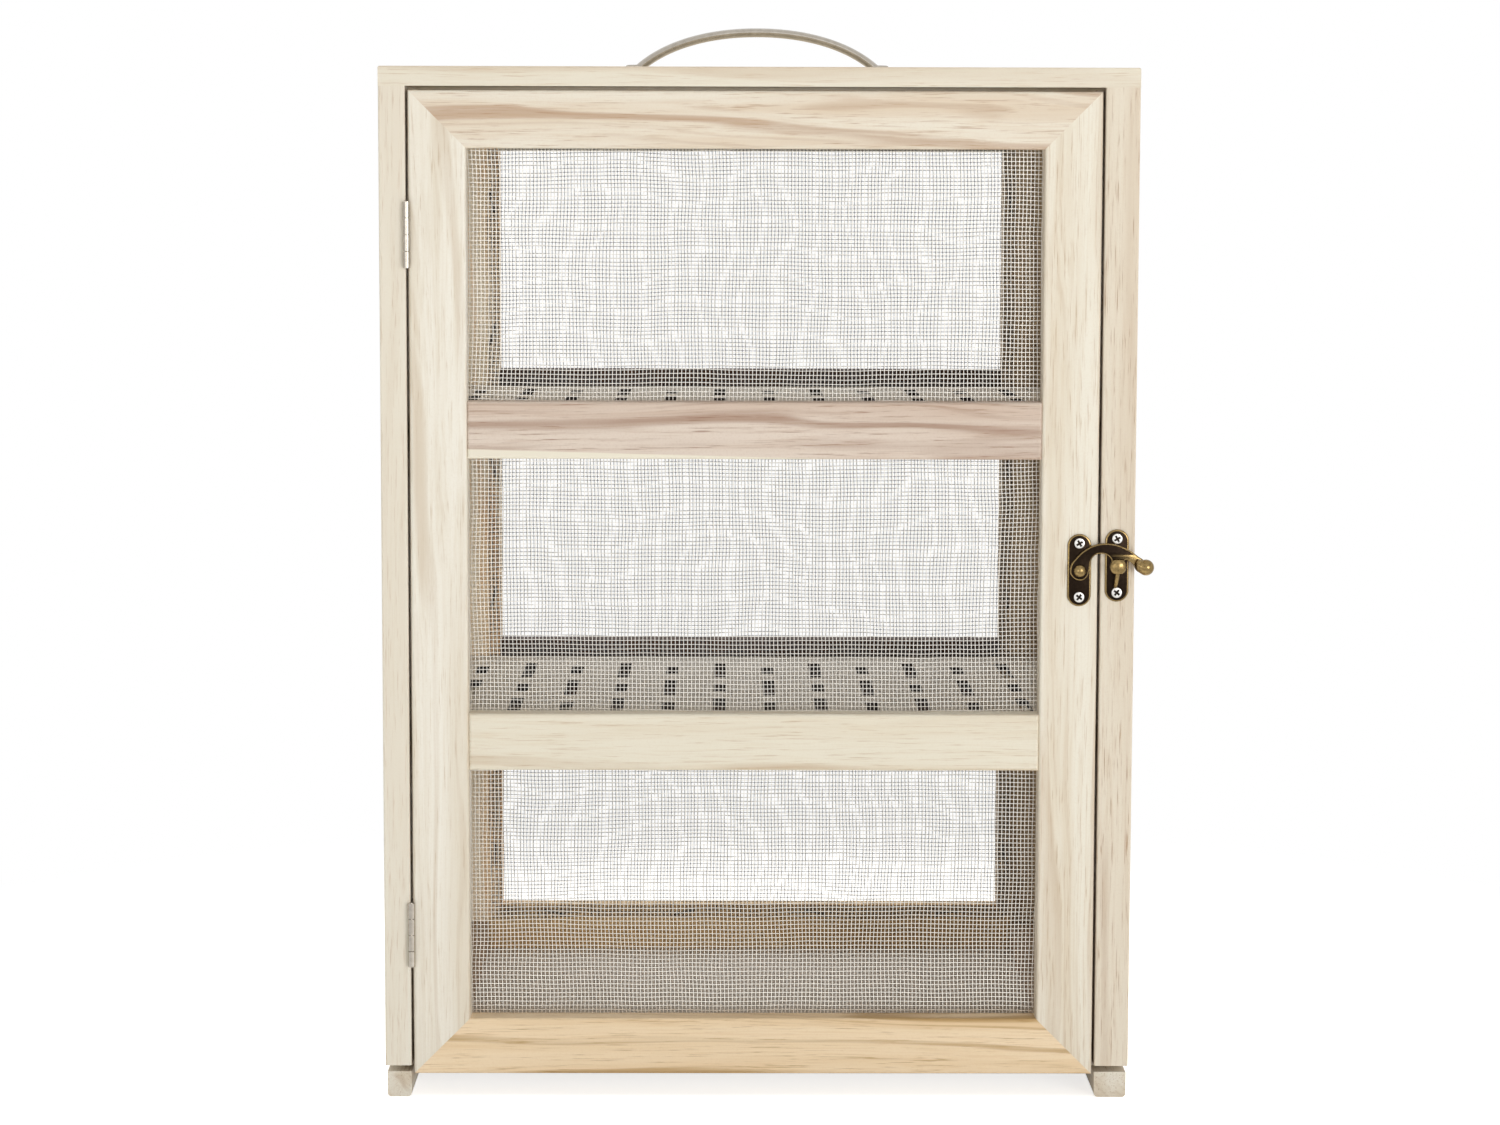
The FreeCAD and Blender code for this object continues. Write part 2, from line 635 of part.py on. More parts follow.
def hook():
    """An arched arm from the rivet's eye to a ball, with a tongue that drops behind the knob.

    It is drawn flat, with its back on the plane and the rivet at the origin, then stood up."""
    thick = size("hook_thickness")
    half = size("hook_width") / 2
    end = Vector(size("ball_x") - size("latch_x"), size("ball_rise"), 0)
    rise = size("hook_rise")
    radius = (end.Length ** 2 / 4 + rise ** 2) / (2 * rise)
    across = Vector(-end.y, end.x, 0).normalize()
    centre = end / 2 - across * (radius - rise)
    spread = 2 * math.degrees(math.asin(end.Length / 2 / radius))
    start = math.degrees(math.atan2(end.y - centre.y, end.x - centre.x))
    up = Vector(0, 0, 1)

    outer = Part.makeCylinder(radius + half, thick, Vector(), up, spread)
    arm = outer.cut(Part.makeCylinder(radius - half, thick, Vector(), up))
    arm.rotate(Vector(), up, start)
    arm.translate(centre)
    eye = Part.makeCylinder(size("eye_radius"), thick)
    turns = [math.pi * (i / BALL_BANDS - 1 / 2) for i in range(BALL_BANDS + 1)]
    rim = [Vector(math.cos(a), 0, math.sin(a)) * size("ball_radius") for a in turns]
    ball = Part.Face(Part.makePolygon(rim + rim[:1])).revolve(Vector(), up)
    stand = size("front_y") - size("hook_back_y")
    ball.translate(end + up * (size("ball_radius") + size("latch_gap") - stand))
    knob_x = size("catch_x") - size("latch_x")
    low = size("catch_rise") - size("tongue_drop")
    crown = centre.y + math.sqrt(radius ** 2 - (knob_x - centre.x) ** 2)
    tongue = Part.makeBox(size("tongue_width"), crown - low, thick)
    tongue.translate(Vector(knob_x - size("tongue_width") / 2, low, 0))
    hole = Part.makeCylinder(size("rivet_radius") + size("rivet_clearance"), thick)
    piece = doc.addObject("Part::Feature", "latch_hook")
    piece.Shape = arm.fuse([eye, ball, tongue]).cut(hole).removeSplitter()
    pivot = Vector(size("latch_x"), size("hook_back_y"), size("latch_height"))
    piece.Placement = Placement(pivot, ALONG_MINUS_Y)
    return piece


def handle():
    """A bowed strap between two round feet, screwed on from under the top board."""
    half = "handle_width / 2"
    axis = ("handle_x", f"handle_y - {half}", "strap_centre_z")
    outer = rod("strap_outer", axis, "strap_radius + handle_strap / 2", "handle_width", ALONG_PLUS_Y)
    inner = rod("strap_inner", ("handle_x", f"handle_y - {half} - overrun", "strap_centre_z"),
                "strap_radius - handle_strap / 2", "handle_width + 2 * overrun", ALONG_PLUS_Y)
    ring = cut("strap_ring", outer, [inner])
    low = ("handle_x - handle_span", f"handle_y - {half}", "case_height + foot_height / 2")
    above = box("strap_reach", low, "2 * handle_span", "handle_width", "handle_rise")
    strap = doc.addObject("Part::Common", "strap")
    strap.Base = ring
    strap.Tool = above
    parts = [strap]
    for i, x in enumerate(HANDLE_ENDS):
        parts.append(rod(f"handle_foot{i}", (x, "handle_y", "case_height"), "foot_radius", "foot_height"))
    drills = holes("handle_drill", [(x, "handle_y", "case_height - overrun") for x in HANDLE_ENDS],
                   ALONG_PLUS_Z, "handle_screw_radius + screw_clearance", "handle_screw_grip + overrun")
    node(cut("handle", fuse("handle_blank", parts), drills), "handle")
    heads = [(x, "handle_y", "under_top - handle_screw_head_height") for x in HANDLE_ENDS]
    screws("handle_screws", heads, ALONG_PLUS_Z, "handle_screw_head", "handle_screw_head_height",
           "handle_screw_radius", "top_thickness + handle_screw_grip - screw_clearance", sunk=False)


def write_parts():
    """Check every object, then write each finished piece to a file of its own."""
    doc.recompute()
    failed = [o.Name for o in doc.Objects if "Invalid" in o.State or "Error" in o.State]
    assert not failed, failed
    for piece in nodes:
        assert not piece.Shape.isNull() and piece.Shape.isValid(), piece.Label
    os.makedirs("parts", exist_ok=True)
    for piece in nodes:
        piece.Shape.exportStep(f"parts/{piece.Label}.step")


case_boards()
cleats_and_shelves()
frames_and_nets()
hinges()
latch()
handle()
write_parts()
print(len(nodes), "pieces")
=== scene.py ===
import math

import bpy
from mathutils import Matrix, Vector


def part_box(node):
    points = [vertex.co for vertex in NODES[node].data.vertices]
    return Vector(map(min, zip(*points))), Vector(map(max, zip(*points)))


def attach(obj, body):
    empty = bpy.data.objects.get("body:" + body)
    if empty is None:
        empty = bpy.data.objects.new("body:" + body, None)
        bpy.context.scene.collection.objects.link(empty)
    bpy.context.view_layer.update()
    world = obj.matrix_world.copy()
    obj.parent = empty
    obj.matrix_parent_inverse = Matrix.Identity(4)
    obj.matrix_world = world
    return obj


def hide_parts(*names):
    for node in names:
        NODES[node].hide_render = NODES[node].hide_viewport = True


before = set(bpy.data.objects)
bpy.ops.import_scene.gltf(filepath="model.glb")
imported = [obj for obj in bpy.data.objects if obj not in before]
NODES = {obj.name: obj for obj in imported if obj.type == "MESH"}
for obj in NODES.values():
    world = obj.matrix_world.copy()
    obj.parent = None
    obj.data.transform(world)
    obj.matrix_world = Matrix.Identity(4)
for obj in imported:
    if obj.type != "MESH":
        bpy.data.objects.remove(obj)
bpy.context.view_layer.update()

# The looks of a counter-top jelly cupboard: pale pine boards, woven wire in the door and the back,
# grey hardboard shelves, bright nickel hinges and handle, and a swing-hook latch in aged bronze.

MM = 0.001
# Points that are closer than this are one point
TINY = MM / 1000

# Sizes of what is modelled here, in millimetres, with leans, slopes and turns in degrees

# Woven wire
WIRE_SPACING = 1.5
CROSS_WIRE_SPACING = 1.7
WIRE_RADIUS = 0.14
# Wire this thin looks round with three sides, which keeps its pieces small
WIRE_SIDES = 3
# The wires wander, as they do in thin netting, each way in swells of its own width
NET_SWAY = 2.6
NET_SWAY_WIDTHS = {"X": 42.0, "Z": 58.0}

# Staples
STAPLE_CROWN = 9.0
STAPLE_WIRE = 0.42
STAPLE_LEG = 4.0
STAPLE_BEND = 0.7
STAPLE_SPACING = 62.0
STAPLE_EDGE = 3.2
STAPLE_LEAN = 14.0

# Hinges and screws
HINGE_EDGE = 0.35
SCREW_HEAD_RADIUS = 2.05
SCREW_HEAD_PROUD = 0.5
SCREW_HEAD_SUNK = 1.0
SCREW_RIM = 0.3
CROSS_WIDTH = 0.8
CROSS_LENGTH = 2.7
CROSS_DEPTH = 0.9
SCREW_TURNS = (38, 59)

# Latch plates, rivet, knob and stem
PLATE_BEVEL = 0.6
RIVET_RADIUS = 2.5
RIVET_RISE = 1.9
RIVET_SHANK = 1.55
KNOB_RADIUS = 3.2
KNOB_DEPTH = 2.9
KNOB_HALF_HEIGHT = 2.75
KNOB_BEVEL = 0.35
STEM_RADIUS = 0.85
STEM_DROP = 8.0
STEM_LEAN = 0.6
# How the stem leaves the plate and how it comes up to the knob
STEM_FOOT_PULL = (0, -2.2, 0.6)
STEM_HEAD_PULL = (0, 0, 3.0)

# Latch hook and its ball
HOOK_GAP = 0.3
HOOK_THICKNESS = 2.0
HOOK_BEVEL = 0.45
RUBBED_FROM = 17.5
BALL_RISE = 1.4
# The ball's neck is drawn out in three pulls, all in shares of the ball's radius
NECK_SHARES = (0.45, 0.70, 0.88)
NECK_PULL_SHARE = 0.16
NECK_LIFT_SHARE = 0.10

# Handle
HANDLE_SPAN = 99.0
HANDLE_STRAP = 3.7
HANDLE_WIDTH = 8.0
HANDLE_FOOT = 4.4
HANDLE_BEVEL = 0.8
HANDLE_SLOPE = 43.0
# How far the bow keeps its direction, at its top and at its ends, as shares of half its span
HANDLE_EASE = 0.42
HANDLE_REACH = 0.30

# Faces that have a second finish
# A slot's walls lie more than this far inside the shelf's edges
SLOT_MARGIN = 1.0
# The door's outer edges lie within this of its outline
EDGE_MARGIN = 0.1
# Shares of a face's normal along an axis: a wall has less than WALL, a flat has at least FLAT
WALL = 0.5
FLAT = 0.98

# The hook's outline from its pivot, x to the right and z up, in millimetres
HOOK_OUTLINE = [
    (0.0, -3.75), (-3.2, -1.9), (-3.6, 1.5), (-1.3, 5.1), (2.3, 8.3), (6.2, 10.1), (10.3, 10.6), (14.4, 10.0),
    (18.7, 8.2), (22.4, 5.6), (25.0, 3.4), (24.3, 0.6), (21.6, 1.3), (20.0, 3.0), (18.6, 3.9), (17.2, 4.1),
    (16.9, 1.8), (12.2, 1.8), (12.0, 4.4), (10.5, 6.0), (8.2, 6.6), (5.8, 6.0), (4.3, 3.9), (3.75, 0.4),
    (2.4, -2.8),
]


# Small tools


def hex_colour(text):
    """An sRGB hex colour as linear red, green, blue and alpha."""
    parts = [int(text[i:i + 2], 16) / 255 for i in (1, 3, 5)]
    return [c / 12.92 if c <= 0.04045 else ((c + 0.055) / 1.055) ** 2.4 for c in parts] + [1.0]


def add_node(tree, kind, settings=None, links=None):
    """Add a node, set its properties and sockets, and link its inputs."""
    made = tree.nodes.new(kind)
    for name, value in (settings or {}).items():
        if isinstance(name, str) and hasattr(made, name):
            setattr(made, name, value)
        else:
            made.inputs[name].default_value = value
    for name, socket in (links or {}).items():
        tree.links.new(socket, made.inputs[name])
    return made


def new_material(name):
    """A new material with its node tree and its surface shader."""
    material = bpy.data.materials.new(name)
    material.use_nodes = True
    tree = material.node_tree
    return material, tree, tree.nodes["Principled BSDF"]


def only(piece):
    """Select one piece alone and make it active."""
    bpy.ops.object.select_all(action="DESELECT")
    piece.select_set(True)
    bpy.context.view_layer.objects.active = piece
    return piece


def added():
    """The piece that an operator has just added."""
    return bpy.context.view_layer.objects.active


def settle(piece):
    """Make a piece a mesh and put its place, turn and size into it."""
    only(piece)
    bpy.ops.object.convert(target="MESH")
    bpy.ops.object.transform_apply(location=True, rotation=True, scale=True)
    return piece


def modifier(piece, kind, **settings):
    """Add a modifier with its settings."""
    made = piece.modifiers.new(kind.lower(), kind)
    for name, value in settings.items():
        setattr(made, name, value)
    return made


def apply_modifiers(piece):
    """Apply all of a piece's modifiers in order."""
    only(piece)
    for made in list(piece.modifiers):
        bpy.ops.object.modifier_apply(modifier=made.name)
    return piece


def edit(piece):
    """Open a piece for editing with all of it selected."""
    only(piece)
    bpy.ops.object.mode_set(mode="EDIT")
    bpy.ops.mesh.select_mode(type="VERT")
    bpy.ops.mesh.select_all(action="SELECT")


def pick(piece, wanted):
    """Select, of a piece that is open for editing, the points that meet a condition on their place."""
    bpy.ops.mesh.select_all(action="DESELECT")
    bpy.ops.object.mode_set(mode="OBJECT")
    for vertex in piece.data.vertices:
        vertex.select = wanted(vertex.co)
    bpy.ops.object.mode_set(mode="EDIT")


def close_edit():
    """Merge doubles, make the normals point outwards and leave edit mode."""
    bpy.ops.mesh.select_all(action="SELECT")
    bpy.ops.mesh.remove_doubles(threshold=TINY)
    bpy.ops.mesh.normals_make_consistent(inside=False)
    bpy.ops.object.mode_set(mode="OBJECT")


def extrude(step):
    """Pull the selection out."""
    bpy.ops.mesh.extrude_region_move(TRANSFORM_OT_translate={"value": step})


def joined(parts):
    """Several pieces as one."""
    bpy.ops.object.select_all(action="DESELECT")
    for part in parts:
        part.select_set(True)
    bpy.context.view_layer.objects.active = parts[0]
    if len(parts) > 1:
        bpy.ops.object.join()
    return settle(parts[0])


def copies(piece, places):
    """A piece copied to each of the given places, every copy with its own mesh, and all joined."""
    made = []
    for place in places:
        only(piece)
        bpy.ops.object.duplicate()
        other = added()
        other.matrix_world = place
        made.append(other)
    bpy.data.objects.remove(piece)
    return joined(made)


def coat(piece, *materials):
    """Give a piece its materials, in order."""
    piece.data.materials.clear()
    for material in materials:
        piece.data.materials.append(material)
    return piece


def hand_over(piece, name, body, slot, *stands_for, angle=35):
    """Name and smooth a piece, let it ride on its body and hide the parts that it stands for."""
    piece.name = name
    piece.data.name = name
    only(piece)
    bpy.ops.object.shade_smooth_by_angle(angle=math.radians(angle))
    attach(piece, body)
    if stands_for:
        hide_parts(*stands_for)


# Finishes. Widths and spacings of their patterns are in millimetres.

LINE_SPACING = 11.0
FINE_SPACING = 2.4
STREAK_WIDTH = 1.1
# Pine's pores are about a tenth of a millimetre wide; they are drawn coarser so that they show
PORE_WIDTH = 0.45
CLOUD_WIDTH = 12.0
SPECK_WIDTH = 0.9
# Broad boards show wider clouds and lines
BROAD_SPREAD = 2.2
WANDER = 14.0
WANDER_WIDTH = 26.0
# The patterns' scales along the grain, as shares of those across it
ALONG_GRAIN = 0.035
ALONG_PORES = 0.03
ALONG_WANDER = 0.11
# One door rail has sapwood along its lower edge: how tall it is half way along, and how it runs out
SAPWOOD = "#EDE5D2"
SAP_HEIGHT = 1.0
SAP_SLOPE = 0.026
SAP_BLEND = 0.5
# A wave texture repeats every 2 pi / 20 of its scaled length
WAVE_PERIOD = 2 * math.pi / 20
# Hardboard's fibres are finer than this; they are drawn coarser so that they show
FIBRE_WIDTH = 1.2
MOTTLE_WIDTH = 35.0
# From the smoothest to the roughest spots, and how deep the pores and the fibres are
PINE_ROUGHNESS = (0.52, 0.74)
PINE_RELIEF = 0.10
BOARD_ROUGHNESS = (0.60, 0.76)
BOARD_RELIEF = 0.08

# Each board's tones, some with painted light or shade as marked: early wood, tan cloud, late-wood line, and
# how strong cloud, lines and pores are
PLAIN = ("#EAE4D3", "#DDCDB4", "#C2A280", 0.45, 0.30, 0.30)
# The back's two middle rails are drawn dark brown: painted shade for the shadow that they sit in behind the
# shelves
SHADED_RAIL = ("#573C2B", "#442B1C", "#2D1C12", 0.60, 0.50, 0.50)
# The floor cleats are reddish brown: the wood's own tint, darkened as painted shade for the bottom corners of
# the case
SHADED_CLEAT = ("#B99E84", "#A3876B", "#826852", 0.60, 0.50, 0.50)
RUNNER = ("#E6DFD0", "#D2C3AC", "#A98C6C", 0.70, 0.30, 0.80)
TONES = {
    "top_board": ("#E9E1CF", "#DCCBB1", "#BE9C78", 0.50, 0.35, 0.40),
    "side_left": ("#EFE9DA", "#DECFB8", "#BC9C7B", 0.45, 0.30, 0.55),
    "side_right": ("#E6DBC8", "#D3BFA6", "#A98565", 0.65, 0.42, 0.80),
    "door_stile_left": ("#F4EEE1", "#DFD2BB", "#BFA482", 0.60, 0.30, 0.55),
    "door_stile_right": ("#EFE8D8", "#DCCBB1", "#BC9E7B", 0.60, 0.35, 0.60),
    "door_rail_top": ("#ECE3D2", "#DAC4A9", "#AF8867", 0.65, 0.60, 0.60),
    "door_rail_upper": ("#E0D1C2", "#C6AC98", "#9A7660", 0.80, 0.70, 0.85),
    "door_rail_lower": ("#EBE3D0", "#DBC9AC", "#B8966F", 0.50, 0.45, 0.50),
    "door_rail_bottom": ("#F6DFBD", "#E4C497", "#AE8950", 0.70, 0.75, 0.65),
    "back_rail_lower": SHADED_RAIL,
    "back_rail_upper": SHADED_RAIL,
    "back_rail_bottom": ("#DDBE8E", "#C79E66", "#96703F", 0.65, 0.60, 0.50),
    # The back's left stile is drawn pale and orange as painted light from the lamp at the right, and the
    # right stile is drawn darker as painted shade
    "back_stile_left": ("#FBF1DC", "#F6CF9C", "#D79F68", 0.75, 0.40, 0.40),
    "back_stile_right": ("#C9B598", "#A68D6F", "#7A634C", 0.60, 0.50, 0.50),
    "floor_cleat_left": SHADED_CLEAT,
    "floor_cleat_right": SHADED_CLEAT,
    "runner_left": RUNNER,
    "runner_right": RUNNER,
}


def pine(name, grain, offset, spread, sap_top, early, cloud, late, clouding, lining, poring):
    """Planed, unvarnished pine, which looks dry and soft: cream wood clouded with tan, late-wood lines that
    wander along the grain, fine dark pores. A board may have pale sapwood up to a slanting line."""
    material, tree, shader = new_material(name)
    place = add_node(tree, "ShaderNodeTexCoord").outputs["Object"]
    laid = {}
    for way, stretch in (("grain", ALONG_GRAIN), ("pores", ALONG_PORES), ("wander", ALONG_WANDER)):
        scale = [stretch if axis == grain else 1.0 for axis in "XYZ"]
        mapping = add_node(tree, "ShaderNodeMapping", {"Location": offset, "Scale": scale}, {"Vector": place})
        laid[way] = mapping.outputs["Vector"]
    sway = add_node(tree, "ShaderNodeTexNoise", {"Scale": 1 / (WANDER_WIDTH * MM)},
                    {"Vector": laid["wander"]})
    flow = add_node(tree, "ShaderNodeVectorMath", {"operation": "MULTIPLY_ADD", 1: [WANDER * MM] * 3},
                    {0: sway.outputs["Fac"], 2: laid["grain"]}).outputs["Vector"]

    # Each pattern's width, detail, roughness and the way that it is laid
    shape = {}
    for pattern, width, detail, rough, way in (("cloud", spread * CLOUD_WIDTH, 4.0, 0.58, flow),
                                               ("streak", STREAK_WIDTH, 3.0, 0.60, flow),
                                               ("pore", PORE_WIDTH, 2.0, 0.70, laid["pores"]),
                                               ("speck", SPECK_WIDTH, 2.0, 0.60, place)):
        noise = add_node(tree, "ShaderNodeTexNoise",
                         {"Scale": 1 / (width * MM), "Detail": detail, "Roughness": rough}, {"Vector": way})
        shape[pattern] = noise.outputs["Fac"]
    for pattern, spacing, bend in (("line", LINE_SPACING, 9.0), ("fine line", FINE_SPACING, 5.0)):
        wave = add_node(tree, "ShaderNodeTexWave",
                        {"wave_type": "BANDS", "bands_direction": "DIAGONAL", "wave_profile": "SIN",
                         "Scale": WAVE_PERIOD / (spread * spacing * MM), "Distortion": bend, "Detail": 3.0,
                         "Detail Scale": 0.5, "Detail Roughness": 0.6}, {"Vector": flow})
        shape[pattern] = wave.outputs["Fac"]

    # Each layer's pattern, where it begins and is full, its strength, the pattern it keeps to, and its tint
    layers = (
        ("cloud", 0.38, 0.66, clouding, None, cloud),
        ("streak", 0.45, 0.70, 0.55 * clouding, None, cloud),
        ("speck", 0.45, 0.75, 0.25 * clouding, None, cloud),
        ("line", 0.86, 1.00, lining, ("cloud", 0.30, 0.55), late),
        ("fine line", 0.60, 1.00, 0.55 * lining / spread, ("cloud", 0.45, 0.65), late),
        ("pore", 0.54, 0.68, poring, ("streak", 0.40, 0.62), late),
    )
    colour = None
    for pattern, low, high, strength, keeper, tint in layers:
        amount = add_node(tree, "ShaderNodeMapRange",
                          {"interpolation_type": "SMOOTHSTEP", "From Min": low, "From Max": high,
                           "To Max": strength}, {"Value": shape[pattern]}).outputs["Result"]
        if keeper:
            other, start, full = keeper
            within = add_node(tree, "ShaderNodeMapRange",
                              {"interpolation_type": "SMOOTHSTEP", "From Min": start, "From Max": full},
                              {"Value": shape[other]})
            amount = add_node(tree, "ShaderNodeMath", {"operation": "MULTIPLY"},
                              {0: amount, 1: within.outputs["Result"]}).outputs[0]
        mix = add_node(tree, "ShaderNodeMix",
                       {"data_type": "RGBA", 6: hex_colour(early), 7: hex_colour(tint)}, {0: amount})
        if colour:
            tree.links.new(colour, mix.inputs[6])
        colour = mix.outputs[2]
    if sap_top:
        height = add_node(tree, "ShaderNodeVectorMath", {"operation": "DOT_PRODUCT", 1: (SAP_SLOPE, 0, 1)},
                          {0: place}).outputs["Value"]
        band = add_node(tree, "ShaderNodeMapRange",
                        {"From Min": sap_top, "From Max": sap_top - SAP_BLEND * MM}, {"Value": height})
        colour = add_node(tree, "ShaderNodeMix", {"data_type": "RGBA", 7: hex_colour(SAPWOOD)},
                          {0: band.outputs["Result"], 6: colour}).outputs[2]
    tree.links.new(colour, shader.inputs["Base Color"])
    smooth, coarse = PINE_ROUGHNESS
    rough = add_node(tree, "ShaderNodeMapRange", {"To Min": smooth, "To Max": coarse},
                     {"Value": shape["streak"]})
    tree.links.new(rough.outputs["Result"], shader.inputs["Roughness"])
    shader.inputs["Specular IOR Level"].default_value = 0.3
    bump = add_node(tree, "ShaderNodeBump", {"Strength": 0.3, "Distance": PINE_RELIEF * MM},
                    {"Height": shape["pore"]})
    tree.links.new(bump.outputs["Normal"], shader.inputs["Normal"])
    return material


def hardboard(name, pale, mid, dark):
    """Pressed fibreboard: warm grey, mottled, with short darker fibres, smooth but without shine."""
    material, tree, shader = new_material(name)
    place = add_node(tree, "ShaderNodeTexCoord").outputs["Object"]
    cloud = add_node(tree, "ShaderNodeTexNoise", {"Scale": 1 / (MOTTLE_WIDTH * MM), "Detail": 3.0},
                     {"Vector": place})
    fibre = add_node(tree, "ShaderNodeTexNoise",
                     {"Scale": 1 / (FIBRE_WIDTH * MM), "Detail": 3.0, "Roughness": 0.7}, {"Vector": place})
    mottle = add_node(tree, "ShaderNodeMix", {"data_type": "RGBA", 6: hex_colour(pale), 7: hex_colour(mid)},
                      {0: cloud.outputs["Fac"]})
    fleck = add_node(tree, "ShaderNodeMapRange", {"From Min": 0.5, "From Max": 0.8, "To Max": 0.45},
                     {"Value": fibre.outputs["Fac"]})
    colour = add_node(tree, "ShaderNodeMix", {"data_type": "RGBA", 7: hex_colour(dark)},
                      {0: fleck.outputs["Result"], 6: mottle.outputs[2]})
    tree.links.new(colour.outputs[2], shader.inputs["Base Color"])
    smooth, coarse = BOARD_ROUGHNESS
    rough = add_node(tree, "ShaderNodeMapRange", {"To Min": smooth, "To Max": coarse},
                     {"Value": fibre.outputs["Fac"]})
    tree.links.new(rough.outputs["Result"], shader.inputs["Roughness"])
    bump = add_node(tree, "ShaderNodeBump", {"Strength": 0.15, "Distance": BOARD_RELIEF * MM},
                    {"Height": fibre.outputs["Fac"]})
    tree.links.new(bump.outputs["Normal"], shader.inputs["Normal"])
    return material


def mottled(name, bright, dull, shine, smear, patch, metallic):
    """A surface that goes from a bright to a dull tone, and from smooth to rough, in patches of one width."""
    material, tree, shader = new_material(name)
    place = add_node(tree, "ShaderNodeTexCoord").outputs["Object"]
    smears = add_node(tree, "ShaderNodeTexNoise", {"Scale": 1 / (patch * MM), "Detail": 3.0},
                      {"Vector": place})
    colour = add_node(tree, "ShaderNodeMix",
                      {"data_type": "RGBA", 6: hex_colour(bright), 7: hex_colour(dull)},
                      {0: smears.outputs["Fac"]})
    tree.links.new(colour.outputs[2], shader.inputs["Base Color"])
    rough = add_node(tree, "ShaderNodeMapRange", {"To Min": shine, "To Max": smear},
                     {"Value": smears.outputs["Fac"]})
    tree.links.new(rough.outputs["Result"], shader.inputs["Roughness"])
    shader.inputs["Metallic"].default_value = metallic
    return material


# Zinc makes the door's wire pale silver with a soft shine, so that it stands out against the dark inside
WIRE = mottled("galvanised wire, pale zinc", "#E2DED6", "#D0CBC2", 0.26, 0.38, 9.0, 1.0)
# The back's wire has no shine, and its dark grey is painted shade, since it is lit only from inside the case
DULL_SHADED_WIRE = mottled("galvanised wire, dull, in painted shade", "#67686C", "#505155", 0.45, 0.60, 9.0, 0.0)
# Staples are bare drawn steel, dark grey with a narrow shine
STEEL = mottled("plain steel wire", "#6F6C68", "#45423E", 0.30, 0.45, 3.0, 1.0)
# Polished nickel mirrors the room, with a faint warmth and a breath of handling
NICKEL = mottled("bright nickel plate", "#C6BFB4", "#978F83", 0.08, 0.18, 2.5, 1.0)
# Zinc-plated screw heads are bright and a little frosted
ZINC = mottled("bright zinc plate", "#E4E2DE", "#C6C3BD", 0.22, 0.38, 1.5, 1.0)
# Patina makes the flats of the latch almost black, with a soft brown sheen
BRONZE = mottled("aged bronze, darkened in the flats", "#2B2119", "#140F0B", 0.30, 0.46, 1.2, 1.0)
# Where hands and metal rub, the patina is gone and the brass shows, blotched with brown
BRASS = mottled("bronze rubbed back to brass", "#B09664", "#503F27", 0.18, 0.34, 0.9, 1.0)
# The slots' upright walls are a dull dark brown
DARK_SLOT_WALL = mottled("dark slot wall", "#33261D", "#241A14", 0.70, 0.90, 2.0, 0.0)
# The door's outer edges, which face the narrow gaps, are painted dark brown as shade for the gaps
GAP_SHADE_EDGE = mottled("pine edge, painted gap shade", "#A98E6F", "#80664A", 0.70, 0.90, 2.0, 0.0)
# The shelves' board is pale and even, and the floor's is the same board, drawn darker as painted shade for
# the bottom of the case
BOARD = hardboard("pressed hardboard, pale", "#F3EDE3", "#E4DCD0", "#BFB5A8")
SHADED_FLOOR_BOARD = hardboard("pressed hardboard, darkened as painted shade", "#EBE0D3", "#D9CDBE", "#B3A799")


def finish_boards():
    """Lay pine on every board along its own length, grey board on the shelves and the floor, and plate on
    what is metal."""
    for name, piece in NODES.items():
        kind = set(name.split("_"))
        if kind & {"stile", "side", "rail", "cleat", "runner", "board"}:
            grain = "Z" if kind & {"stile", "side"} else "Y" if kind & {"cleat", "runner"} else "X"
            # The letters of its name choose each board's own stretch of the pattern
            shift = sum((i + 1) * ord(letter) for i, letter in enumerate(name)) % 97 / 97
            place = (shift, 1.7 * shift + 0.3, 2.3 * shift)
            spread = BROAD_SPREAD if kind & {"side", "board"} else 1.0
            sap_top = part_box(name)[0].z + SAP_HEIGHT * MM if name == "door_rail_upper" else None
            coat(piece, pine("pine " + name, grain, place, spread, sap_top, *TONES.get(name, PLAIN)))
        elif "shelf" in kind:
            coat(piece, BOARD, DARK_SLOT_WALL)
            darken_slot_walls(piece, *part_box(name))
        elif "floor" in kind:
            coat(piece, SHADED_FLOOR_BOARD)
        elif kind & {"hinge", "handle"}:
            coat(piece, NICKEL)
            modifier(piece, "WELD", merge_threshold=TINY)
            modifier(piece, "BEVEL", width=HINGE_EDGE * MM, segments=2, limit_method="ANGLE")
            modifier(piece, "WEIGHTED_NORMAL", keep_sharp=True)
        else:
            coat(piece, ZINC if "screws" in kind else BRONZE)
    # The door's outer edges get painted shade for the gaps around the door
    for name in ("door_stile_left", "door_stile_right", "door_rail_top"):
        paint_gap_shade(NODES[name])


def darken_slot_walls(piece, low, high):
    """Darken the upright walls of a shelf's slots."""
    for face in piece.data.polygons:
        middle = face.center
        depth = min(middle.x - low.x, high.x - middle.x, middle.y - low.y, high.y - middle.y)
        inside = depth > SLOT_MARGIN * MM
        face.material_index = 1 if inside and abs(face.normal.z) < WALL else 0


def paint_gap_shade(piece):
    """Darken the outer edge of a door board: painted shade for the gap beside it."""
    left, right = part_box("door_stile_left")[0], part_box("door_stile_right")[1]
    piece.data.materials.append(GAP_SHADE_EDGE)
    for face in piece.data.polygons:
        middle = face.center
        near = min(middle.x - left.x, right.x - middle.x, right.z - middle.z)
        face.material_index = 1 if near < EDGE_MARGIN * MM and abs(face.normal.y) < WALL else 0


# Woven wire


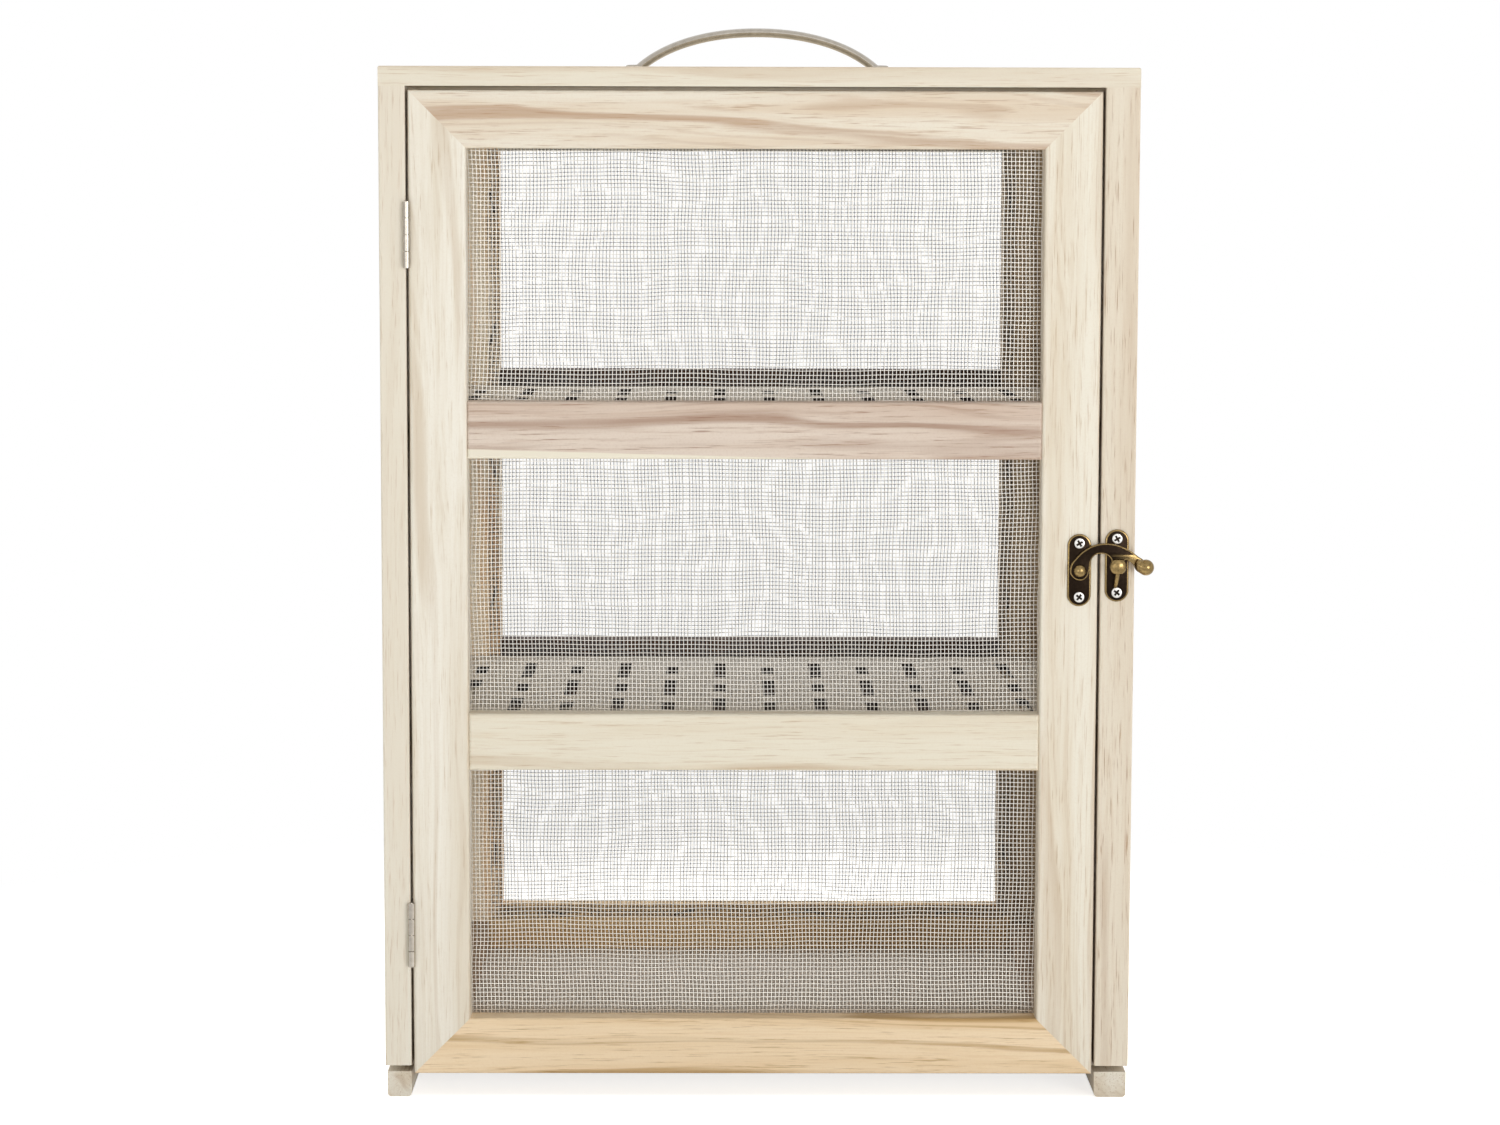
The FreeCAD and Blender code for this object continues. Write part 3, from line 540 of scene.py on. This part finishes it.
def woven(node, upright):
    """The wires of a net that run one way, each bent over and under the ones that cross it."""
    low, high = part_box(node)
    middle = (low.y + high.y) / 2
    step_x, step_z = WIRE_SPACING * MM, CROSS_WIRE_SPACING * MM
    columns, rows = int((high.x - low.x) / step_x / 2), int((high.z - low.z) / step_z / 2)
    edge_x = (low.x + high.x - (2 * columns - 1) * step_x) / 2
    edge_z = (low.z + high.z - (2 * rows - 1) * step_z) / 2
    along, beside = Vector((0, 0, step_z)), Vector((step_x, 0, 0))
    count, repeats, turn, over = rows, columns, 0, WIRE_RADIUS * MM
    if not upright:
        along, beside = beside, along
        count, repeats, turn, over = columns, rows, math.pi / 2, -over
    bpy.ops.mesh.primitive_circle_add(vertices=WIRE_SIDES, radius=WIRE_RADIUS * MM, rotation=(0, turn, 0),
                                      location=(edge_x, middle + over, edge_z))
    wire = settle(added())
    edit(wire)
    for bend in (-2 * over, 2 * over):
        extrude(along + Vector((0, bend, 0)))
    close_edit()
    modifier(wire, "ARRAY", count=count - 1, use_relative_offset=False, use_constant_offset=True,
             constant_offset_displace=2 * along, use_merge_vertices=True, merge_threshold=TINY)
    apply_modifiers(wire)
    edit(wire)
    bpy.ops.mesh.fill_holes(sides=WIRE_SIDES)
    bpy.ops.mesh.select_all(action="SELECT")
    bpy.ops.mesh.duplicate_move(TRANSFORM_OT_translate={"value": along + beside})
    close_edit()
    modifier(wire, "ARRAY", count=repeats, use_relative_offset=False, use_constant_offset=True,
             constant_offset_displace=2 * beside)
    for axis, width in NET_SWAY_WIDTHS.items():
        clouds = bpy.data.textures.new("net sway", "CLOUDS")
        clouds.noise_scale = width * MM
        modifier(wire, "DISPLACE", texture=clouds, texture_coords="LOCAL", direction=axis,
                 strength=NET_SWAY * MM)
    return apply_modifiers(wire)


def woven_sheets():
    """The door's and the back's wire, the upright and the level wires apart."""
    for node, body, finish in (("door_mesh", "door", WIRE), ("back_mesh", "case", DULL_SHADED_WIRE)):
        for upright, name in ((True, "uprights"), (False, "cross_wires")):
            hand_over(coat(woven(node, upright), finish), f"{node}_{name}", body, "wire", node, angle=60)


def staple():
    """One staple at the origin, its crown along X and its legs into +Y, with round bends."""
    half, leg, bend = STAPLE_CROWN / 2 * MM, STAPLE_LEG * MM, STAPLE_BEND * MM
    bpy.ops.mesh.primitive_circle_add(vertices=6, radius=STAPLE_WIRE * MM, fill_type="NGON",
                                      rotation=(math.pi / 2, 0, 0), location=(-half, leg, 0))
    piece = settle(added())
    edit(piece)
    extrude((0, bend - leg, 0))
    for side in (-1, 1):
        centre = (side * (half - bend), bend, 0)
        bpy.ops.mesh.spin(steps=4, angle=-math.pi / 2, center=centre, axis=(0, 0, 1))
        if side < 0:
            extrude((2 * (half - bend), 0, 0))
    extrude((0, leg - bend, 0))
    close_edit()
    return coat(piece, STEEL)


def staple_row(node, body, outward):
    """Staples along the four edges of a net, over its wires and into the frame behind."""
    low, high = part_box(node)
    face = low.y if outward < 0 else high.y
    inset = STAPLE_EDGE * MM
    places = []
    for upright, first, last, edges in ((True, low.z, high.z, (low.x + inset, high.x - inset)),
                                        (False, low.x, high.x, (low.z + inset, high.z - inset))):
        count = max(2, round((last - first) / (STAPLE_SPACING * MM)))
        for edge in edges:
            for i in range(count):
                at = first + (i + 0.5) / count * (last - first)
                # Each leans its own way, and the same way on every run
                lean = math.radians(STAPLE_LEAN * math.sin(9 * i + 500 * edge))
                turn = Matrix.Rotation((math.pi / 2 if upright else 0) + lean, 4, "Y")
                if outward > 0:
                    turn = Matrix.Rotation(math.pi, 4, "Z") @ turn
                spot = (edge, face, at) if upright else (at, face, edge)
                places.append(Matrix.Translation(spot) @ turn)
    hand_over(copies(staple(), places), node + "_staples", body, "screw_steel")


# Screws


def cross_head():
    """A screw head with a rounded rim and a cross recess, facing -Y at the origin."""
    depth = SCREW_HEAD_PROUD + SCREW_HEAD_SUNK
    bpy.ops.mesh.primitive_cylinder_add(vertices=36, radius=SCREW_HEAD_RADIUS * MM, depth=depth * MM,
                                        rotation=(math.pi / 2, 0, 0),
                                        location=(0, (depth / 2 - SCREW_HEAD_PROUD) * MM, 0))
    head = coat(settle(added()), ZINC)
    modifier(head, "BEVEL", width=SCREW_RIM * MM, segments=3, limit_method="ANGLE")
    apply_modifiers(head)
    for turn in (0, math.pi / 2):
        bpy.ops.mesh.primitive_cube_add(size=1, rotation=(0, turn, 0),
                                        location=(0, -SCREW_HEAD_PROUD * MM, 0))
        blade = added()
        blade.scale = (CROSS_LENGTH * MM, 2 * CROSS_DEPTH * MM, CROSS_WIDTH * MM)
        coat(settle(blade), BRONZE)
        modifier(head, "BOOLEAN", operation="DIFFERENCE", object=blade, solver="EXACT",
                 material_mode="TRANSFER")
        apply_modifiers(head)
        bpy.data.objects.remove(blade)
    return head


def plate_screws(node, body):
    """Two cross-head screws over the two ends of a latch plate, each stopped at its own turn."""
    low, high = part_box(node)
    middle, reach = (low.x + high.x) / 2, (high.x - low.x) / 2
    places = []
    for z, turn in zip((low.z + reach, high.z - reach), SCREW_TURNS):
        places.append(Matrix.Translation((middle, low.y, z)) @ Matrix.Rotation(math.radians(turn), 4, "Y"))
    hand_over(copies(cross_head(), places), node + "_heads", body, "screw_steel", node)


# Latch


def plate(centre, width, length, thickness):
    """A round-ended plate that lies on the front of the cupboard, its bevel rubbed bright."""
    bpy.ops.mesh.primitive_circle_add(vertices=48, radius=width / 2, fill_type="NGON",
                                      rotation=(math.pi / 2, 0, 0), location=centre)
    piece = coat(settle(added()), BRONZE, BRASS)
    edit(piece)
    for side in (-1, 1):
        pick(piece, lambda point: side * (point.z - centre.z) > 0)
        bpy.ops.transform.translate(value=(0, 0, side * (length - width) / 2))
    bpy.ops.mesh.select_all(action="SELECT")
    extrude((0, -thickness, 0))
    bpy.ops.mesh.bevel(offset=PLATE_BEVEL * MM, segments=2, material=1)
    close_edit()
    return piece


def knob(centre):
    """A flattened ball with its top and bottom trimmed level."""
    bpy.ops.mesh.primitive_uv_sphere_add(segments=40, ring_count=24, radius=1.0, location=centre)
    piece = added()
    piece.scale = (KNOB_RADIUS * MM, KNOB_DEPTH / 2 * MM, KNOB_RADIUS * MM)
    settle(piece)
    for side in (-1, 1):
        edit(piece)
        trim = centre + Vector((0, 0, side * KNOB_HALF_HEIGHT * MM))
        bpy.ops.mesh.bisect(plane_co=trim, plane_no=(0, 0, side), use_fill=True, clear_outer=True)
        close_edit()
    modifier(piece, "BEVEL", width=KNOB_BEVEL * MM, segments=2, limit_method="ANGLE",
             angle_limit=math.radians(25))
    return coat(apply_modifiers(piece), BRASS)


def stem(head, foot):
    """A round stem that leans from the plate to the knob in a slight curve."""
    bpy.ops.curve.primitive_bezier_curve_add()
    line = added()
    line.data.bevel_depth = STEM_RADIUS * MM
    line.data.bevel_resolution = 4
    line.data.resolution_u = 10
    line.data.use_fill_caps = True
    for point, place, lead in zip(line.data.splines[0].bezier_points, (foot, head),
                                  (STEM_FOOT_PULL, STEM_HEAD_PULL)):
        pull = Vector(lead) * MM
        point.co = place
        point.handle_left_type = point.handle_right_type = "FREE"
        point.handle_left = place - pull
        point.handle_right = place + pull
    return coat(settle(line), BRASS)


def latch_plates():
    """The door's plate and, on the side, the catch's plate with its knob and slanting stem."""
    low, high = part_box("latch_plate")
    thickness = high.y - low.y
    centre = Vector(((low.x + high.x) / 2, high.y, (low.z + high.z) / 2))
    piece = plate(centre, high.x - low.x, high.z - low.z, thickness)
    hand_over(piece, "latch_plate_bevelled", "door", "bronze", "latch_plate")

    low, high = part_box("catch_plate")
    centre = Vector(((low.x + high.x) / 2, high.y, (low.z + high.z) / 2))
    front = Vector((centre.x, low.y + KNOB_DEPTH / 2 * MM, centre.z))
    foot = centre + Vector((-STEM_LEAN * MM, -thickness, -STEM_DROP * MM))
    parts = [plate(centre, high.x - low.x, high.z - low.z, thickness), knob(front), stem(front, foot)]
    hand_over(joined(parts), "catch_with_knob", "case", "bronze", "catch_plate")


def hook_arm(pivot, back):
    """The hook's flat crescent with rubbed edges and a tongue that goes behind the knob."""
    bpy.ops.curve.primitive_bezier_circle_add()
    outline = added()
    spline = outline.data.splines[0]
    spline.bezier_points.add(len(HOOK_OUTLINE) - len(spline.bezier_points))
    for point, (x, z) in zip(spline.bezier_points, HOOK_OUTLINE):
        point.co = (x * MM, z * MM, 0)
        point.handle_left_type = point.handle_right_type = "AUTO"
    outline.data.dimensions = "2D"
    outline.data.fill_mode = "BOTH"
    outline.data.resolution_u = 6
    outline.data.extrude = (HOOK_THICKNESS / 2 - HOOK_BEVEL) * MM
    outline.data.bevel_depth = HOOK_BEVEL * MM
    outline.data.bevel_resolution = 1
    outline.data.offset = -HOOK_BEVEL * MM
    outline.rotation_euler = (math.pi / 2, 0, 0)
    outline.location = (pivot.x, back - HOOK_THICKNESS / 2 * MM, pivot.z)
    arm = coat(settle(outline), BRONZE, BRASS)
    edit(arm)
    close_edit()
    for face in arm.data.polygons:
        rubbed = face.center.x > pivot.x + RUBBED_FROM * MM
        face.material_index = 1 if rubbed or abs(face.normal.y) < FLAT else 0
    return arm


def hook_ball(centre, radius):
    """The ball that lifts the hook, drawn out to a neck where it meets the arm."""
    bpy.ops.mesh.primitive_uv_sphere_add(segments=40, ring_count=24, radius=radius, location=centre)
    ball = settle(added())
    edit(ball)
    for share in NECK_SHARES:
        pick(ball, lambda point: centre.x - point.x > share * radius)
        bpy.ops.transform.translate(value=(-NECK_PULL_SHARE * radius, 0, NECK_LIFT_SHARE * radius))
    close_edit()
    return coat(ball, BRASS)


def latch_hook():
    """The hook with its ball."""
    low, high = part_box("latch_hook")
    rivet_low, rivet_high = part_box("latch_rivet")
    pivot = (rivet_low + rivet_high) / 2
    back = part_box("latch_plate")[0].y - HOOK_GAP * MM
    radius = (high.y - low.y) / 2
    centre = Vector((high.x - radius, (low.y + high.y) / 2, pivot.z + BALL_RISE * MM))
    piece = joined([hook_arm(pivot, back), hook_ball(centre, radius)])
    hand_over(piece, "latch_hook_crescent", "hook", "bronze", "latch_hook", angle=50)


def latch_rivet():
    """The rivet's domed head over the eye of the hook, and its shank down to the plate."""
    low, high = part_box("latch_rivet")
    middle = (low + high) / 2
    seat = low.y + RIVET_RISE * MM
    bpy.ops.mesh.primitive_uv_sphere_add(segments=36, ring_count=20, radius=1.0, rotation=(math.pi / 2, 0, 0),
                                         location=(middle.x, seat, middle.z))
    dome = added()
    dome.scale = (RIVET_RADIUS * MM, RIVET_RADIUS * MM, RIVET_RISE * MM)
    settle(dome)
    edit(dome)
    bpy.ops.mesh.bisect(plane_co=(0, seat, 0), plane_no=(0, 1, 0), clear_outer=True)
    pick(dome, lambda point: point.y > seat - 10 * TINY)
    bpy.ops.mesh.edge_face_add()
    bpy.ops.mesh.inset(thickness=(RIVET_RADIUS - RIVET_SHANK) * MM)
    extrude((0, high.y - seat, 0))
    close_edit()
    hand_over(coat(dome, BRASS), "latch_rivet_dome", "door", "bronze", "latch_rivet")


# Handle


def bow_handle():
    """The bow handle: a strap with a rounded section, arched between two low round feet."""
    low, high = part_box("handle")
    middle = (low + high) / 2
    half_span, foot_height = HANDLE_SPAN / 2 * MM, HANDLE_FOOT * MM
    apex, end = high.z - HANDLE_STRAP / 2 * MM, low.z + foot_height / 2
    slope = math.radians(HANDLE_SLOPE)

    bpy.ops.curve.primitive_bezier_circle_add(radius=1.0)
    section = added()
    section.scale = (HANDLE_WIDTH / 2 * MM, HANDLE_STRAP / 2 * MM, 1)
    section.data.resolution_u = 8
    bpy.ops.curve.primitive_bezier_curve_add()
    bow = added()
    points = bow.data.splines[0].bezier_points
    points.add(1)
    for point, side in zip(points, (-1, 0, 1)):
        point.handle_left_type = point.handle_right_type = "FREE"
        spot = Vector((middle.x + side * half_span, middle.y, end if side else apex))
        lead = Vector((HANDLE_EASE * half_span, 0, 0))
        if side:
            lead = HANDLE_REACH * half_span * Vector((math.cos(slope), 0, -side * math.sin(slope)))
        point.co, point.handle_left, point.handle_right = spot, spot - lead, spot + lead
    bow.data.splines[0].resolution_u = 28
    bow.data.twist_mode = "Z_UP"
    bow.data.bevel_mode = "OBJECT"
    bow.data.bevel_object = section
    bow.data.use_fill_caps = True
    settle(bow)
    bpy.data.objects.remove(section)
    edit(bow)
    close_edit()

    bpy.ops.mesh.primitive_cylinder_add(vertices=40, radius=(high.y - low.y) / 2, depth=foot_height)
    foot = settle(added())
    modifier(foot, "BEVEL", width=HANDLE_BEVEL * MM, segments=4, limit_method="ANGLE")
    apply_modifiers(foot)
    places = [Matrix.Translation((middle.x + side * half_span, middle.y, end)) for side in (-1, 1)]
    piece = joined([bow, copies(foot, places)])
    hand_over(coat(piece, NICKEL), "bow_handle", "case", "nickel", "handle")


# Stage: the camera in millimetres, degrees and pixels of the photograph, and the light

CAMERA_PLACE = (-16.04, -1490.64, 352.79)
CAMERA_DOWN = 5.913
CAMERA_TURN = 0.386
CAMERA_ROLL = 0.147
CAMERA_REACH = 3601.0
PHOTO_WIDTH = 1500.0
SENSOR = 36.0
# In metres: what the camera can see, and the floor, whose shadow fades to white from near to far
CLIP_NEAR = 0.05
CLIP_FAR = 60.0
FLOOR_SIZE = 30.0
FLOOR_DROP = 0.00002
FLOOR_NEAR = 0.18
FLOOR_FAR = 0.50
# Strengths: the floor's glow to the eye, and the room's light at its weakest and its strongest
FLOOR_LIFT = 0.70
ROOM_LIGHT = 0.15
BACKDROP_LIGHT = 1.4
# The way to the brighter part of the room
ROOM_TILT = (0.0, 0.7, 0.7)
# The size of the soft lights in metres, and each one's place and aim in metres and power in watts
SOFTBOX = 1.2
LIGHTS = {
    "key light": ((1.35, -2.55, 0.45), (0, 0, 0.2), 32),
    "high light": ((0.4, -2.3, 1.7), (0, 0, 0.1), 2),
    "low light": ((-0.9, -2.6, 0.15), (0, 0, 0.1), 9),
}


def set_camera():
    """The photograph's viewpoint: a little above the middle, square to the door, tipped down."""
    data = bpy.data.cameras.new("camera")
    data.sensor_width = SENSOR
    data.lens = SENSOR * CAMERA_REACH / PHOTO_WIDTH
    data.clip_start = CLIP_NEAR
    data.clip_end = CLIP_FAR
    camera = bpy.data.objects.new("camera", data)
    bpy.context.scene.collection.objects.link(camera)
    turn = (Matrix.Rotation(math.radians(-CAMERA_TURN), 4, "Z")
            @ Matrix.Rotation(math.radians(90 - CAMERA_DOWN), 4, "X")
            @ Matrix.Rotation(math.radians(CAMERA_ROLL), 4, "Z"))
    camera.matrix_world = Matrix.Translation(Vector(CAMERA_PLACE) * MM) @ turn
    bpy.context.scene.camera = camera


def seen_by_eye(tree):
    """One for what is looked at, straight or in metal and glass, and none for what only gives light."""
    path = add_node(tree, "ShaderNodeLightPath")
    seen = path.outputs["Is Camera Ray"]
    for ray in ("Is Glossy Ray", "Is Transmission Ray"):
        seen = add_node(tree, "ShaderNodeMath", {"operation": "MAXIMUM"},
                        {0: seen, 1: path.outputs[ray]}).outputs[0]
    return seen


def set_floor():
    """A pale floor that keeps the shadow near the cupboard and is plain white farther off."""
    bpy.ops.mesh.primitive_plane_add(size=FLOOR_SIZE, location=(0, 0, -FLOOR_DROP))
    floor = settle(added())
    floor.name = "floor"
    material, tree, shader = new_material("pale floor")
    shader.inputs["Base Color"].default_value = hex_colour("#F4F4F2")
    shader.inputs["Roughness"].default_value = 0.9
    shader.inputs["Specular IOR Level"].default_value = 0.0
    shader.inputs["Emission Color"].default_value = hex_colour("#FFFFFF")
    seen = seen_by_eye(tree)
    lift = add_node(tree, "ShaderNodeMath", {"operation": "MULTIPLY", 1: FLOOR_LIFT}, {0: seen})
    tree.links.new(lift.outputs[0], shader.inputs["Emission Strength"])
    place = add_node(tree, "ShaderNodeTexCoord").outputs["Object"]
    away = add_node(tree, "ShaderNodeVectorMath", {"operation": "LENGTH"}, {"Vector": place})
    fade = add_node(tree, "ShaderNodeMapRange",
                    {"interpolation_type": "SMOOTHSTEP", "From Min": FLOOR_NEAR, "From Max": FLOOR_FAR},
                    {"Value": away.outputs["Value"]})
    far = add_node(tree, "ShaderNodeMath", {"operation": "MULTIPLY"}, {0: seen, 1: fade.outputs["Result"]})
    white = add_node(tree, "ShaderNodeEmission", {"Color": hex_colour("#FFFFFF"), "Strength": 1.0})
    surface = add_node(tree, "ShaderNodeMixShader", {},
                       {0: far.outputs[0], 1: shader.outputs[0], 2: white.outputs[0]})
    tree.links.new(surface.outputs[0], tree.nodes["Material Output"].inputs["Surface"])
    coat(floor, material)


def set_room():
    """A room that is white to the eye and in reflections, and lights more from above and behind."""
    world = bpy.data.worlds.new("white room")
    bpy.context.scene.world = world
    world.use_nodes = True
    tree = world.node_tree
    sky = tree.nodes["Background"]
    sky.inputs["Color"].default_value = hex_colour("#FFFFFF")
    seen = seen_by_eye(tree)
    toward = add_node(tree, "ShaderNodeTexCoord").outputs["Generated"]
    depth = add_node(tree, "ShaderNodeVectorMath", {"operation": "DOT_PRODUCT", 1: ROOM_TILT}, {0: toward})
    light = add_node(tree, "ShaderNodeMapRange",
                     {"interpolation_type": "SMOOTHSTEP", "From Min": 0.05, "From Max": 0.6,
                      "To Min": ROOM_LIGHT, "To Max": BACKDROP_LIGHT}, {"Value": depth.outputs["Value"]})
    strength = add_node(tree, "ShaderNodeMix", {"data_type": "FLOAT", 3: 1.0},
                        {0: seen, 2: light.outputs["Result"]})
    tree.links.new(strength.outputs[0], sky.inputs["Strength"])


def softbox(name, place, aim, power):
    """A square soft light that faces a point."""
    data = bpy.data.lights.new(name, "AREA")
    data.shape = "SQUARE"
    data.size = SOFTBOX
    data.energy = power
    lamp = bpy.data.objects.new(name, data)
    bpy.context.scene.collection.objects.link(lamp)
    lamp.location = place
    lamp.rotation_euler = (Vector(aim) - Vector(place)).to_track_quat("-Z", "Y").to_euler()


finish_boards()
woven_sheets()
staple_row("door_mesh", "door", 1)
staple_row("back_mesh", "case", -1)
plate_screws("latch_screws", "door")
plate_screws("catch_screws", "case")
latch_plates()
latch_hook()
latch_rivet()
bow_handle()
set_camera()
set_floor()
set_room()
for lamp_name, (lamp_place, lamp_aim, lamp_power) in LIGHTS.items():
    softbox(lamp_name, lamp_place, lamp_aim, lamp_power)
bpy.context.scene.view_settings.view_transform = "Standard"
